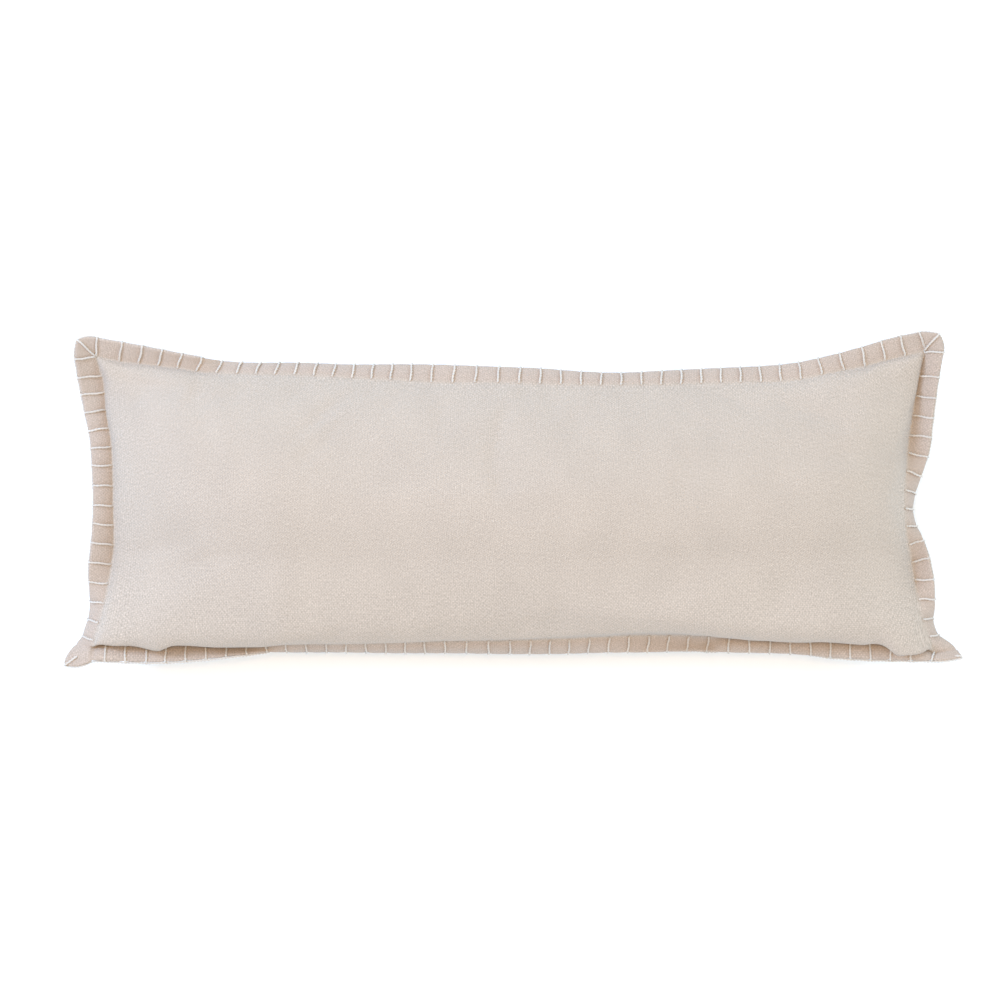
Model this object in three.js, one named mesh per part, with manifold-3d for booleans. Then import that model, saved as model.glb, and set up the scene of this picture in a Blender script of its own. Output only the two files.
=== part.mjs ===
// Lumbar pillow lying on its back: a stuffed cotton body with a flat flange all round,
// edged in thick yarn with a blanket stitch. Millimetres, +Z up, +Y the pillow's upper long side.
import * as THREE from "three";
import { mergeVertices } from "three/addons/utils/BufferGeometryUtils.js";
import Module from "manifold-3d";

// Driving sizes
const FLANGE_THICK = 3; // two layers of cotton
const SEAM_HEIGHT = 57; // seam line above the surface the pillow lies on
const FRONT_CROWN = 68; // front panel's height above the seam line
const BACK_CROWN = 62; // back panel's depth below it, pressed flat where it touches
const END_RISE = 190; // length over which the crown rises from each short side
const SHARPNESS = 1.25; // of the ridges running in from the corners
const YARN_WIDE = 2.4;
const YARN_THICK = 1.6;
const YARN_GAP = 0.65; // clearance between yarn and cloth
const TWIST_GAP = 1; // more clearance where the flange twists, at a quarter turn between stitches
const CORNER_GAP = 1.3; // more clearance for the diagonal stitch at each tip
const BAR_START = 0.66; // where a bar starts, as a share of the first half of the flange
const LONG_PITCHES = 41; // stitch spacings along a long side
const SHORT_PITCHES = 16; // stitch spacings along a short side

// Each side of the flange, seen from above. Along: position on the side. Seam and rim: how far out
// the seam line and the cloth's rim lie there. Rise: the rim's height over the seam line. Bow: how
// far the flange bends away from straight. Lean: shift of a stitch's outer end along the side.
// Drop: how far the seam lies below its usual height.
// prettier-ignore
const TOP = [
  // along, seam, rim, rise, bow, lean, drop
  [-421, 144.5, 162.8, 8.0, 1.0, 2.5, 1.0],
  [-397, 139.8, 159.0, 9.0, 0.5, 4.2, 5.0],
  [-376, 136.9, 155.0, 9.0, 1.0, 4.8, 4.0],
  [-335, 131.7, 146.9, 5.0, 1.5, 5.5, 1.0],
  [-314, 128.4, 143.2, 4.0, 1.0, 5.5, 1.0],
  [-290, 126.2, 139.5, -13.0, 1.5, 5.2, 0],
  [-265, 125.5, 137.8, -17.0, 2.5, 4.6, 0],
  [-214, 124.7, 137.8, -16.0, 2.5, 4.0, 0],
  [-164, 122.0, 136.2, -13.5, 2.0, 3.0, 0],
  [-113, 119.5, 136.6, -12.0, 1.5, 1.8, 0],
  [-73, 117.1, 136.2, -9.7, 1.0, 2.2, 0],
  [-22, 117.0, 134.3, -12.0, 1.0, 2.2, 0],
  [28, 115.6, 132.3, -13.1, 1.5, 1.0, 0],
  [69, 114.5, 129.1, -15.0, 2.0, 0.8, 0],
  [109, 114.3, 127.7, -16.0, 2.0, 1.0, 0],
  [160, 115.1, 130.3, -15.0, 2.0, 1.6, 0],
  [210, 116.9, 132.8, -13.9, 1.5, 0.5, 0],
  [261, 118.0, 135.3, -11.0, 1.0, -0.6, 0],
  [291, 120.7, 138.8, -8.5, 1.0, -1.5, 0],
  [326, 128.3, 146.7, -4.0, 1.0, -4.3, 0],
  [357, 134.4, 155.4, 0.0, 0.5, -3.0, 0],
  [382, 141.2, 162.6, 5.0, 0.5, -4.5, 3.0],
  [417, 149.0, 169.2, 6.0, 1.5, -6.5, 1.0],
];
// prettier-ignore
const BOTTOM = [
  // along, seam, rim, rise, bow, lean, drop
  [-423, -150.0, -162.2, 8.0, -1.5, 0, 5.0],
  [-410, -149.5, -162.5, 13.0, -3.5, 0, 11.0],
  [-386, -148.5, -162.8, 15.5, -4.2, 0, 16.0],
  [-356, -148.0, -163.1, 16.0, -4.2, 0, 16.0],
  [-315, -147.0, -161.1, 16.5, -3.2, 0.5, 14.0],
  [-275, -146.0, -157.0, 15.0, 0.0, 1.5, 10.0],
  [-248, -145.8, -154.5, 3.0, 0.5, 0.8, 3.0],
  [-230, -144.8, -154.0, -9.0, 2.0, 0.3, 0],
  [-200, -144.4, -154.0, -17.0, 3.0, 0.2, 0],
  [-174, -144.4, -154.0, -18.1, 3.0, 0, 0],
  [-113, -143.4, -155.0, -16.9, 3.0, 0, 0],
  [-63, -141.8, -155.0, -15.7, 3.0, 0, 0],
  [-2, -141.9, -156.0, -14.0, 2.5, -0.5, 0],
  [48, -140.7, -156.0, -12.0, 1.5, -1.5, 0],
  [89, -138.8, -155.0, -9.0, 1.0, -1.5, 0],
  [129, -137.0, -155.0, -4.0, -1.0, -1.8, 1.0],
  [180, -137.0, -154.0, -2.0, -2.5, -2.5, 3.0],
  [230, -138.4, -155.0, 2.0, -4.0, -1.0, 6.0],
  [281, -140.4, -156.5, 9.0, -5.5, 0, 11.0],
  [321, -143.0, -159.5, 13.0, -6.0, 0, 14.0],
  [357, -145.5, -161.3, 15.0, -6.0, 0, 15.0],
  [375, -146.0, -161.6, 15.0, -6.0, 0, 15.0],
  [400, -148.5, -161.6, 12.0, -5.0, 0, 12.0],
  [426, -151.0, -161.0, 9.0, -2.0, 3.0, 4.0],
];
// prettier-ignore
const LEFT = [
  // along, seam, rim, rise, bow, lean, drop
  [-150, -423.0, -444.0, -8.0, 1.5, 3.0, 0],
  [-140, -420.8, -436.0, -14.5, 1.5, 3.3, 0],
  [-132, -418.5, -433.3, -15.8, 1.5, 3.2, 0],
  [-114, -413.6, -428.0, -14.0, 1.5, 3.0, 0],
  [-96, -410.1, -427.7, -5.0, 1.0, 2.7, 2.0],
  [-76, -407.2, -428.2, 6.0, 0.0, 2.7, 6.0],
  [-56, -404.7, -426.7, 10.0, -1.0, 2.7, 9.0],
  [-36, -403.8, -424.7, 9.0, -1.5, 2.7, 8.0],
  [-6, -404.0, -423.3, 6.0, -2.0, 0.5, 5.0],
  [25, -404.0, -424.0, 5.0, -2.0, 0.5, 4.0],
  [60, -405.5, -426.2, 4.0, -2.0, -2.3, 3.0],
  [88, -410.9, -431.8, 6.0, -1.5, -3.0, 5.0],
  [116, -413.6, -437.0, 9.0, 0.5, -2.5, 8.0],
  [135, -418.5, -440.0, 9.0, 0.5, -3.0, 6.0],
  [144.5, -421.0, -440.8, 9.0, 1.0, -3.3, 1.0],
];
// prettier-ignore
const RIGHT = [
  // along, seam, rim, rise, bow, lean, drop
  [-151, 426.0, 451.0, -2.0, 1.5, 0.5, 4.0],
  [-139, 420.0, 432.0, -14.0, 1.5, 0.5, 0],
  [-124, 413.8, 426.4, -16.0, 1.5, 0.5, 0],
  [-107, 410.8, 427.6, -5.0, 0.5, 1.0, 1.0],
  [-86, 408.1, 426.2, 8.0, 0.0, 0.5, 7.0],
  [-61, 404.1, 421.3, 10.0, 1.0, 4.0, 8.0],
  [-41, 399.3, 416.1, 0.0, 1.5, 3.0, 3.0],
  [-25, 396.4, 408.5, -15.0, 1.5, -1.5, 0],
  [-9, 395.2, 405.7, -18.0, 2.0, -1.5, 0],
  [10, 395.5, 409.4, -13.8, 1.5, -4.0, 1.0],
  [30, 397.9, 416.0, 0.0, 1.0, -5.0, 3.0],
  [50, 400.4, 421.2, 8.0, 1.0, -4.0, 7.0],
  [70, 403.2, 423.2, 9.0, 1.0, -2.5, 8.0],
  [95, 407.5, 426.2, 10.0, 1.0, -3.5, 9.0],
  [121, 412.0, 430.2, 11.0, -1.0, -3.0, 9.0],
  [149, 417.0, 435.0, 10.0, -2.5, -1.0, 2.0],
];

// Uneven stitch spacing: the place along each side of some numbered stitches.
// prettier-ignore
const TOP_PITCH = [[0, -421], [1, -397.6], [5, -319], [7, -278.9], [14, -142.7], [17, -82.2],
  [21, 6.9], [25, 89.5], [30, 190.8], [35, 292], [38, 356.1], [41, 417]];
// prettier-ignore
const BOTTOM_PITCH = [[0, -423], [0.5, -411], [1, -391], [3, -350], [8, -249], [13, -148],
  [17, -68], [20, -2], [24, 78], [30, 199], [34, 281], [40, 402], [41, 426]];
// prettier-ignore
const LEFT_PITCH = [[0, -150], [1, -142.5], [2, -124.7], [5, -66.2], [9, 13.6], [10, 34],
  [13, 89.9], [15, 125.2], [16, 144.5]];
// prettier-ignore
const RIGHT_PITCH = [[0, -151], [1, -139], [2, -121.2], [4, -81.8], [8, -9.1], [10, 28.8],
  [12, 65.1], [15, 125.7], [16, 149]];

// The flange's four outermost points, and how far the rim beside each bulges.
const TIPS = {
  bottomLeft: { x: -449.5, y: -166, rise: 6, bulgeX: -3.5, bulgeY: -3.5 },
  bottomRight: { x: 453, y: -158, rise: 12, bulgeX: 1.5, bulgeY: -2 },
  topLeft: { x: -438.5, y: 160.6, rise: 10, bulgeX: -1, bulgeY: 2.2 },
  topRight: { x: 428, y: 164.8, rise: 8, bulgeX: 2.5, bulgeY: 1.6 },
};

// How far the stuffing pushes the belly down over the bottom seam, by place along it.
const SAG = [[-423, 14], [-400, 18], [-360, 18], [-315, 19], [-260, 22], [-50, 23], [60, 21.5],
  [280, 19], [350, 19], [372, 21], [386, 30], [400, 42], [415, 58], [426, 50]];

// Soft folds and hollows of the front: place, direction, half length, half width, height.
// prettier-ignore
const FOLDS = [
  // x, y, degrees, length, width, height
  [54, -100, 4, 95, 30, -2.6],
  [190, -98, 29, 60, 14, 1.8],
  [262, -104, 57, 38, 11, -1.6],
  [330, -80, 64, 50, 16, 1.2],
  [-390, 126, -35, 24, 6, -1.5],
  [-300, 20, 85, 90, 40, 0.9],
  [-10, 30, 90, 110, 30, -0.8],
  [-10, -139, 0, 100, 26, -6],
  [262, -138, 2, 95, 15, 5],
];

// A smooth curve through table rows: column against the first column.
function curve(rows, column = 1) {
  const slopes = rows.map((row, k) => {
    const a = rows[Math.max(k - 1, 0)];
    const b = rows[Math.min(k + 1, rows.length - 1)];
    return (b[column] - a[column]) / (b[0] - a[0]);
  });
  return (at) => {
    let k = 0;
    while (k < rows.length - 2 && at > rows[k + 1][0]) {
      k += 1;
    }
    const step = rows[k + 1][0] - rows[k][0];
    const t = THREE.MathUtils.clamp((at - rows[k][0]) / step, 0, 1);
    const rise = rows[k + 1][column] - rows[k][column];
    const ease = t * t * (3 - 2 * t);
    const lead = t * (1 - t) * (1 - t) * slopes[k] * step;
    const trail = t * t * (1 - t) * slopes[k + 1] * step;
    return rows[k][column] + rise * ease + lead - trail;
  };
}

// Gentle ups and downs of the seam line.
function seamLift(x, y) {
  return 2 * Math.sin(x / 61 + 1) + 1.6 * Math.sin(y / 37);
}

// One side of the flange. `upright` sides run along Y. Gives the three points across the flange.
function makeSide(rows, pitch, upright) {
  const seam = curve(rows, 1);
  const rim = curve(rows, 2);
  const rise = curve(rows, 3);
  const bow = curve(rows, 4);
  const lean = curve(rows, 5);
  const drop = curve(rows, 6);
  const place = curve(pitch);
  const point = (along, out, z) =>
    upright ? new THREE.Vector3(out, along, z) : new THREE.Vector3(along, out, z);
  const seamAt = (station) => {
    const along = place(station);
    const p = point(along, seam(along), 0);
    p.z = SEAM_HEIGHT + seamLift(p.x, p.y) - drop(along);
    return p;
  };
  const rimAt = (station) => {
    const start = seamAt(station);
    const along = place(station) + lean(place(station));
    return point(along, rim(along), start.z + rise(along));
  };
  const middleAt = (station) => {
    const start = seamAt(station);
    const end = rimAt(station);
    const across = end.clone().sub(start);
    const flat = Math.hypot(across.x, across.y);
    const side = new THREE.Vector3(across.x, across.y, 0).multiplyScalar(Math.abs(across.z) / flat);
    side.z = -Math.sign(across.z) * flat;
    const bend = bow(place(station)) / across.length();
    return start.add(end).multiplyScalar(0.5).addScaledVector(side, bend);
  };
  return { seamAt, rimAt, middleAt };
}

const SIDES = {
  top: makeSide(TOP, TOP_PITCH, false),
  bottom: makeSide(BOTTOM, BOTTOM_PITCH, false),
  left: makeSide(LEFT, LEFT_PITCH, true),
  right: makeSide(RIGHT, RIGHT_PITCH, true),
};

// Grid lines across the cloth, numbered in stitch spacings: closer together next to the seams.
function stations(count, close) {
  const list = [];
  for (let k = 0; k <= count; k += 0.5) {
    if (Number.isInteger(k) || k < close || k > count - close) {
      list.push(k);
    }
  }
  return list;
}

const COLUMNS = stations(LONG_PITCHES, 5);
const ROWS = stations(SHORT_PITCHES, 3);
const LAST_I = COLUMNS.length + 3; // two flange lines outside the body on each side
const LAST_J = ROWS.length + 3;

function onBody(i, j) {
  return i > 2 && i < LAST_I - 2 && j > 2 && j < LAST_J - 2;
}

// Middle surface of the flange, with its corners filled in from the neighbouring sides.
function flangePoint(i, j) {
  const column = THREE.MathUtils.clamp(i - 2, 0, COLUMNS.length - 1);
  const row = THREE.MathUtils.clamp(j - 2, 0, ROWS.length - 1);
  const outI = Math.max(2 - i, i - (LAST_I - 2), 0);
  const outJ = Math.max(2 - j, j - (LAST_J - 2), 0);
  const level = i < LAST_I / 2 ? SIDES.left : SIDES.right;
  const bench = j < LAST_J / 2 ? SIDES.bottom : SIDES.top;
  const across = (side, station, out) =>
    [side.seamAt, side.middleAt, side.rimAt][out](station);
  if (outI === 0 && (j <= 2 || j >= LAST_J - 2)) {
    return across(bench, COLUMNS[column], outJ);
  }
  if (outJ === 0) {
    return across(level, ROWS[row], outI);
  }
  const name = (j < 3 ? "bottom" : "top") + (i < 3 ? "Left" : "Right");
  const seam = bench.seamAt(COLUMNS[column]);
  const { x, y, rise, bulgeX, bulgeY } = TIPS[name];
  const tip = new THREE.Vector3(x, y, seam.z + rise);
  const besideJ = across(bench, COLUMNS[column], 2).add(tip).multiplyScalar(0.5);
  const besideI = across(level, ROWS[row], 2).add(tip).multiplyScalar(0.5);
  besideI.x += bulgeX;
  besideJ.y += bulgeY;
  if (outI === 2 && outJ === 2) {
    return tip;
  }
  if (outI === 2) {
    return besideI;
  }
  if (outJ === 2) {
    return besideJ;
  }
  const middleI = across(level, ROWS[row], 1);
  const middleJ = across(bench, COLUMNS[column], 1);
  return besideI.add(besideJ).add(middleI).add(middleJ).multiplyScalar(0.25);
}

// Rise of a circular arch over a half span of 1, for a given height over half span.
function arch(t, ratio) {
  const radius = (1 + ratio * ratio) / (2 * ratio);
  const height = Math.sqrt(radius * radius - (1 - t) * (1 - t)) - (radius - ratio);
  return Math.max(height / ratio, 0);
}

const sagAt = curve(SAG);
const CORNERS = {
  bottomLeft: flangePoint(2, 2),
  bottomRight: flangePoint(LAST_I - 2, 2),
  topLeft: flangePoint(2, LAST_J - 2),
  topRight: flangePoint(LAST_I - 2, LAST_J - 2),
};

// How far `at` lies from one point to another along an axis, as a share.
function share(from, to, at, axis) {
  return (at[axis] - from[axis]) / (to[axis] - from[axis]);
}

// Place of a grid point between the seams, and the stuffing's fullness there: 0 on the seam, 1 in
// the middle.
function bodyPoint(i, j) {
  const bottom = flangePoint(i, 2);
  const top = flangePoint(i, LAST_J - 2);
  const left = flangePoint(2, j);
  const right = flangePoint(LAST_I - 2, j);
  const { bottomLeft, bottomRight, topLeft, topRight } = CORNERS;
  const alongBottom = share(bottomLeft, bottomRight, bottom, "x");
  const alongTop = share(topLeft, topRight, top, "x");
  const upLeft = share(bottomLeft, topLeft, left, "y");
  const upRight = share(bottomRight, topRight, right, "y");
  const s = (alongBottom + alongTop) / 2;
  const t = (upLeft + upRight) / 2;
  const p = new THREE.Vector3()
    .addScaledVector(bottom, 1 - t)
    .addScaledVector(top, t)
    .addScaledVector(left, 1 - s)
    .addScaledVector(right, s)
    .addScaledVector(bottomLeft, -(1 - s) * (1 - t))
    .addScaledVector(topLeft, -(1 - s) * t)
    .addScaledVector(bottomRight, -s * (1 - t))
    .addScaledVector(topRight, -s * t);
  const half = (top.y - bottom.y) / 2;
  const fromSide = Math.min(t, 1 - t) * 2;
  const fromEnd = Math.min((Math.min(s, 1 - s) * (right.x - left.x)) / END_RISE, 1);
  const across = arch(fromSide, FRONT_CROWN / half) ** 0.7;
  const ease = 0.94 + 0.06 * (1 - (2 * s - 1) ** 2);
  const along = (1 - (1 - fromEnd) ** 2.6) ** 0.65 * ease;
  const full = (across ** -SHARPNESS + along ** -SHARPNESS - 1) ** (-1 / SHARPNESS);
  const push = (t / 0.08) ** 2 * Math.exp(2 - 2 * (t / 0.08));
  return { p, full, sag: sagAt(p.x) * push * Math.min(along * 1.4, 1) };
}

function foldHeight(x, y) {
  let sum = 0;
  for (const [fx, fy, degrees, length, width, height] of FOLDS) {
    const angle = THREE.MathUtils.degToRad(degrees);
    const a = (x - fx) * Math.cos(angle) + (y - fy) * Math.sin(angle);
    const b = (y - fy) * Math.cos(angle) - (x - fx) * Math.sin(angle);
    sum += height * Math.exp(-((a / length) ** 2) - (b / width) ** 2);
  }
  return sum;
}

function frontPoint(i, j) {
  const { p, full, sag } = bodyPoint(i, j);
  const y = p.y - sag;
  const z = p.z + FLANGE_THICK / 2 + full * FRONT_CROWN + foldHeight(p.x, y) * Math.min(full * 3, 1);
  return new THREE.Vector3(p.x, y, z);
}

function backPoint(i, j) {
  const { p, full, sag } = bodyPoint(i, j);
  const z = p.z - FLANGE_THICK / 2 - full * BACK_CROWN;
  return new THREE.Vector3(p.x, p.y - 0.8 * sag, Math.max(z, 0));
}

// Frame of the flange at a grid point: position, normal towards the front, both cloth faces.
const flangeCache = new Map();
function flangeFrame(i, j) {
  const key = `${i},${j}`;
  if (flangeCache.has(key)) {
    return flangeCache.get(key);
  }
  const at = flangePoint(i, j);
  const near = (a, b) =>
    a < 0 || b < 0 || a > LAST_I || b > LAST_J || onBody(a, b) ? at : flangePoint(a, b);
  const along = near(i + 1, j).clone().sub(near(i - 1, j));
  const up = near(i, j + 1).clone().sub(near(i, j - 1));
  const onSeam = i >= 2 && i <= LAST_I - 2 && j >= 2 && j <= LAST_J - 2;
  const normal = onSeam ? new THREE.Vector3(0, 0, 1) : along.cross(up).normalize();
  const front = at.clone().addScaledVector(normal, FLANGE_THICK / 2);
  const back = at.clone().addScaledVector(normal, -FLANGE_THICK / 2);
  const frame = { at, normal, front, back };
  flangeCache.set(key, frame);
  return frame;
}

// Geometry from vertices and triangles, with flat normals.
function solid(vertices, triangles) {
  const geometry = new THREE.BufferGeometry();
  const flat = vertices.flatMap((v) => [v.x, v.y, v.z]);
  geometry.setAttribute("position", new THREE.Float32BufferAttribute(flat, 3));
  geometry.setIndex(triangles.flat());
  return geometry;
}

// The rim's grid points in order, anticlockwise from the bottom left tip.
function rimLoop() {
  const loop = [];
  for (let i = 0; i < LAST_I; i += 1) {
    loop.push([i, 0]);
  }
  for (let j = 0; j < LAST_J; j += 1) {
    loop.push([LAST_I, j]);
  }
  for (let i = LAST_I; i > 0; i -= 1) {
    loop.push([i, LAST_J]);
  }
  for (let j = LAST_J; j > 0; j -= 1) {
    loop.push([0, j]);
  }
  return loop;
}

// Front and back panels joined round the rim into one filled solid.
function pillowGeometry() {
  const vertices = [];
  const triangles = [];
  const index = (i, j, face) => (i * (LAST_J + 1) + j) * 2 + face;
  for (let i = 0; i <= LAST_I; i += 1) {
    for (let j = 0; j <= LAST_J; j += 1) {
      const body = onBody(i, j);
      vertices.push(body ? frontPoint(i, j) : flangeFrame(i, j).front);
      vertices.push(body ? backPoint(i, j) : flangeFrame(i, j).back);
    }
  }
  for (let i = 0; i < LAST_I; i += 1) {
    for (let j = 0; j < LAST_J; j += 1) {
      const rising = i < LAST_I / 2 === j < LAST_J / 2;
      for (const face of [0, 1]) {
        const a = index(i, j, face);
        const b = index(i + 1, j, face);
        const c = index(i + 1, j + 1, face);
        const d = index(i, j + 1, face);
        const pair = rising ? [[a, b, c], [a, c, d]] : [[a, b, d], [b, c, d]];
        for (const triangle of pair) {
          triangles.push(face === 0 ? triangle : triangle.reverse());
        }
      }
    }
  }
  const loop = rimLoop();
  loop.forEach(([i, j], k) => {
    const [ni, nj] = loop[(k + 1) % loop.length];
    const front = index(i, j, 0);
    const nextFront = index(ni, nj, 0);
    const back = index(i, j, 1);
    const nextBack = index(ni, nj, 1);
    triangles.push([back, nextBack, nextFront], [back, nextFront, front]);
  });
  return solid(vertices, triangles);
}

// Outward direction at a rim point, lengthened at corners so that offsets keep their distance.
function outwardAt(loop, k) {
  const at = (n) => flangeFrame(...loop[(n + loop.length) % loop.length]);
  const normal = at(k).normal;
  const before = at(k).at.clone().sub(at(k - 1).at).cross(normal).normalize();
  const after = at(k + 1).at.clone().sub(at(k).at).cross(normal).normalize();
  return before.clone().add(after).divideScalar(Math.max(1 + before.dot(after), 0.8));
}

// Clearance between yarn and cloth at a rim point.
function gapAt(loop, k) {
  const normal = (n) => flangeFrame(...loop[(n + loop.length) % loop.length]).normal;
  return YARN_GAP + TWIST_GAP * (1 - normal(k - 1).dot(normal(k + 1)));
}

// A tube of four-sided rings of points, closed on itself or capped at both ends.
function tube(rings, closed) {
  const triangles = [];
  const count = rings.length;
  const spans = closed ? count : count - 1;
  for (let k = 0; k < spans; k += 1) {
    const a = k * 4;
    const b = ((k + 1) % count) * 4;
    for (let m = 0; m < 4; m += 1) {
      const n = (m + 1) % 4;
      triangles.push([a + m, a + n, b + n], [a + m, b + n, b + m]);
    }
  }
  if (!closed) {
    const e = (count - 1) * 4;
    triangles.push([0, 2, 1], [0, 3, 2], [e, e + 1, e + 2], [e, e + 2, e + 3]);
  }
  return solid(rings.flat(), triangles);
}

// The yarn's run along the rim.
function rimYarn(loop) {
  const rings = loop.map(([i, j], k) => {
    const { at, normal } = flangeFrame(i, j);
    const inner = gapAt(loop, k) + 0.1;
    const outer = inner + YARN_THICK - 0.2;
    const outward = outwardAt(loop, k);
    const place = (out, up) =>
      at.clone().addScaledVector(outward, out).addScaledVector(normal, (up * YARN_WIDE) / 2);
    return [place(inner, -1), place(inner, 1), place(outer, 1), place(outer, -1)];
  });
  return tube(rings, true);
}

// One stitch: a bar on the front, round the rim and back on the other face.
function stitchYarn(loop, k, stepI, stepJ) {
  const [i, j] = loop[k];
  const near = gapAt(loop, k) + (stepI && stepJ ? CORNER_GAP : 0);
  const far = near + YARN_THICK;
  const rim = flangeFrame(i, j);
  const middle = flangeFrame(i + stepI, j + stepJ);
  const seam = flangeFrame(i + 2 * stepI, j + 2 * stepJ);
  const outward = outwardAt(loop, k);
  const rings = [];
  for (const face of ["front", "back"]) {
    const sign = face === "front" ? 1 : -1;
    const start = seam[face].clone().lerp(middle[face], BAR_START);
    const path = [
      { base: start, normal: middle.normal, out: 0 },
      { base: middle[face], normal: middle.normal, out: 0 },
      { base: rim[face], normal: rim.normal, out: 1 },
    ].map(({ base, normal, out }) => {
      const width = normal.clone().cross(outward).setLength(YARN_WIDE / 2);
      const place = (depth, side) =>
        base
          .clone()
          .addScaledVector(normal, sign * depth)
          .addScaledVector(outward, out * depth)
          .addScaledVector(width, side);
      return [place(near, -1), place(near, 1), place(far, 1), place(far, -1)];
    });
    rings.push(...(sign > 0 ? path : path.reverse()));
  }
  return tube(rings, false);
}

// Which rim points carry a stitch, and the way in from the rim there.
function stitchSteps([i, j]) {
  const bottom = j === 0;
  const top = j === LAST_J;
  const left = i === 0;
  const right = i === LAST_I;
  if ((bottom || top) && (left || right)) {
    return [left ? 1 : -1, bottom ? 1 : -1];
  }
  if (bottom || top) {
    const station = COLUMNS[i - 2];
    const whole = Number.isInteger(station) && !(bottom && station === 0);
    return whole || (bottom && station === 0.5) ? [0, bottom ? 1 : -1] : null;
  }
  const station = ROWS[j - 2];
  return Number.isInteger(station) && station > 0 ? [left ? 1 : -1, 0] : null;
}

const wasm = await Module();
wasm.setup();

function toManifold(geometry) {
  const merged = mergeVertices(geometry, 1e-5);
  return new wasm.Manifold(
    new wasm.Mesh({
      numProp: 3,
      vertProperties: Float32Array.from(merged.attributes.position.array),
      triVerts: Uint32Array.from(merged.index.array),
    }),
  );
}

function fromManifold(body) {
  const mesh = body.getMesh();
  const geometry = new THREE.BufferGeometry();
  geometry.setAttribute("position", new THREE.BufferAttribute(mesh.vertProperties, 3));
  geometry.setIndex(new THREE.BufferAttribute(mesh.triVerts, 1));
  return geometry;
}

function yarnGeometry() {
  const loop = rimLoop();
  let yarn = toManifold(rimYarn(loop));
  loop.forEach((place, k) => {
    const steps = stitchSteps(place);
    if (steps) {
      yarn = yarn.add(toManifold(stitchYarn(loop, k, ...steps)));
    }
  });
  return fromManifold(yarn);
}

// Both pieces, moved together so that they stand centred on the origin.
const part = new THREE.Group();
part.name = "lumbar_pillow";
const pieces = [
  ["pillow", pillowGeometry(), 0xd8d0c8],
  ["edge_yarn", yarnGeometry(), 0xebe6e1],
];
const bounds = new THREE.Box3();
for (const [, geometry] of pieces) {
  geometry.computeBoundingBox();
  bounds.union(geometry.boundingBox);
}
const middle = bounds.getCenter(new THREE.Vector3());
for (const [name, geometry, color] of pieces) {
  geometry.translate(-middle.x, -middle.y, -bounds.min.z);
  geometry.computeVertexNormals();
  const material = new THREE.MeshStandardMaterial({ color, roughness: 0.95, flatShading: true });
  material.name = `${name}_material`;
  const mesh = new THREE.Mesh(geometry, material);
  mesh.name = name;
  part.add(mesh);
}

export default part;
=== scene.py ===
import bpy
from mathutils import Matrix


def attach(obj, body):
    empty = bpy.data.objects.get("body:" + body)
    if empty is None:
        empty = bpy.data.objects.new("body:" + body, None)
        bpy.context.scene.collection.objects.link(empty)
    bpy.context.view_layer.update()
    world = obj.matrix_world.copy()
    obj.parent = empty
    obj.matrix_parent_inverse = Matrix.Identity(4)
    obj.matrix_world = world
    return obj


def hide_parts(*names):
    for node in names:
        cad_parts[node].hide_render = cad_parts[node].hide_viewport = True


bl_info = {
    "name": "Lumbar pillow with a blanket-stitched flange",
    "version": (1, 0, 0),
    "blender": (4, 5, 0),
    "location": "3D View > Sidebar > Pillow",
    "description": "Stuffed cotton cover with a flange, twisted edge yarn and a plain studio",
    "category": "Object",
}

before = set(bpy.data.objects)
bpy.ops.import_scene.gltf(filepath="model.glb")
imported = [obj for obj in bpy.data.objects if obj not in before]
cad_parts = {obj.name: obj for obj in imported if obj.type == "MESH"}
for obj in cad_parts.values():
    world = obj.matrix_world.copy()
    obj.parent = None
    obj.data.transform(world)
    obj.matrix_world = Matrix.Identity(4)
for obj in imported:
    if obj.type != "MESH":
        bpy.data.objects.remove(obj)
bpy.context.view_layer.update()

import math

import bmesh
import bpy
import numpy as np
from bpy.props import FloatProperty, IntProperty, PointerProperty, StringProperty
from bpy.types import Operator, Panel, PropertyGroup
from mathutils import Vector, noise

MM = 0.001
LONG_PITCHES = 41  # stitch spacings along a long side
SHORT_PITCHES = 16  # stitch spacings along a short side
SHIFT = np.array([-2.384, 0.092, 0.0])  # brings the tables' centre onto the frame's, in mm
CLOTH_LONG = 866.0  # a panel's flat length from seam to seam, in mm
CLOTH_SHORT = 308.0  # a panel's flat height from seam to seam, in mm
CLOTH_FLANGE = 22.0  # the flange's flat width, in mm

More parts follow.
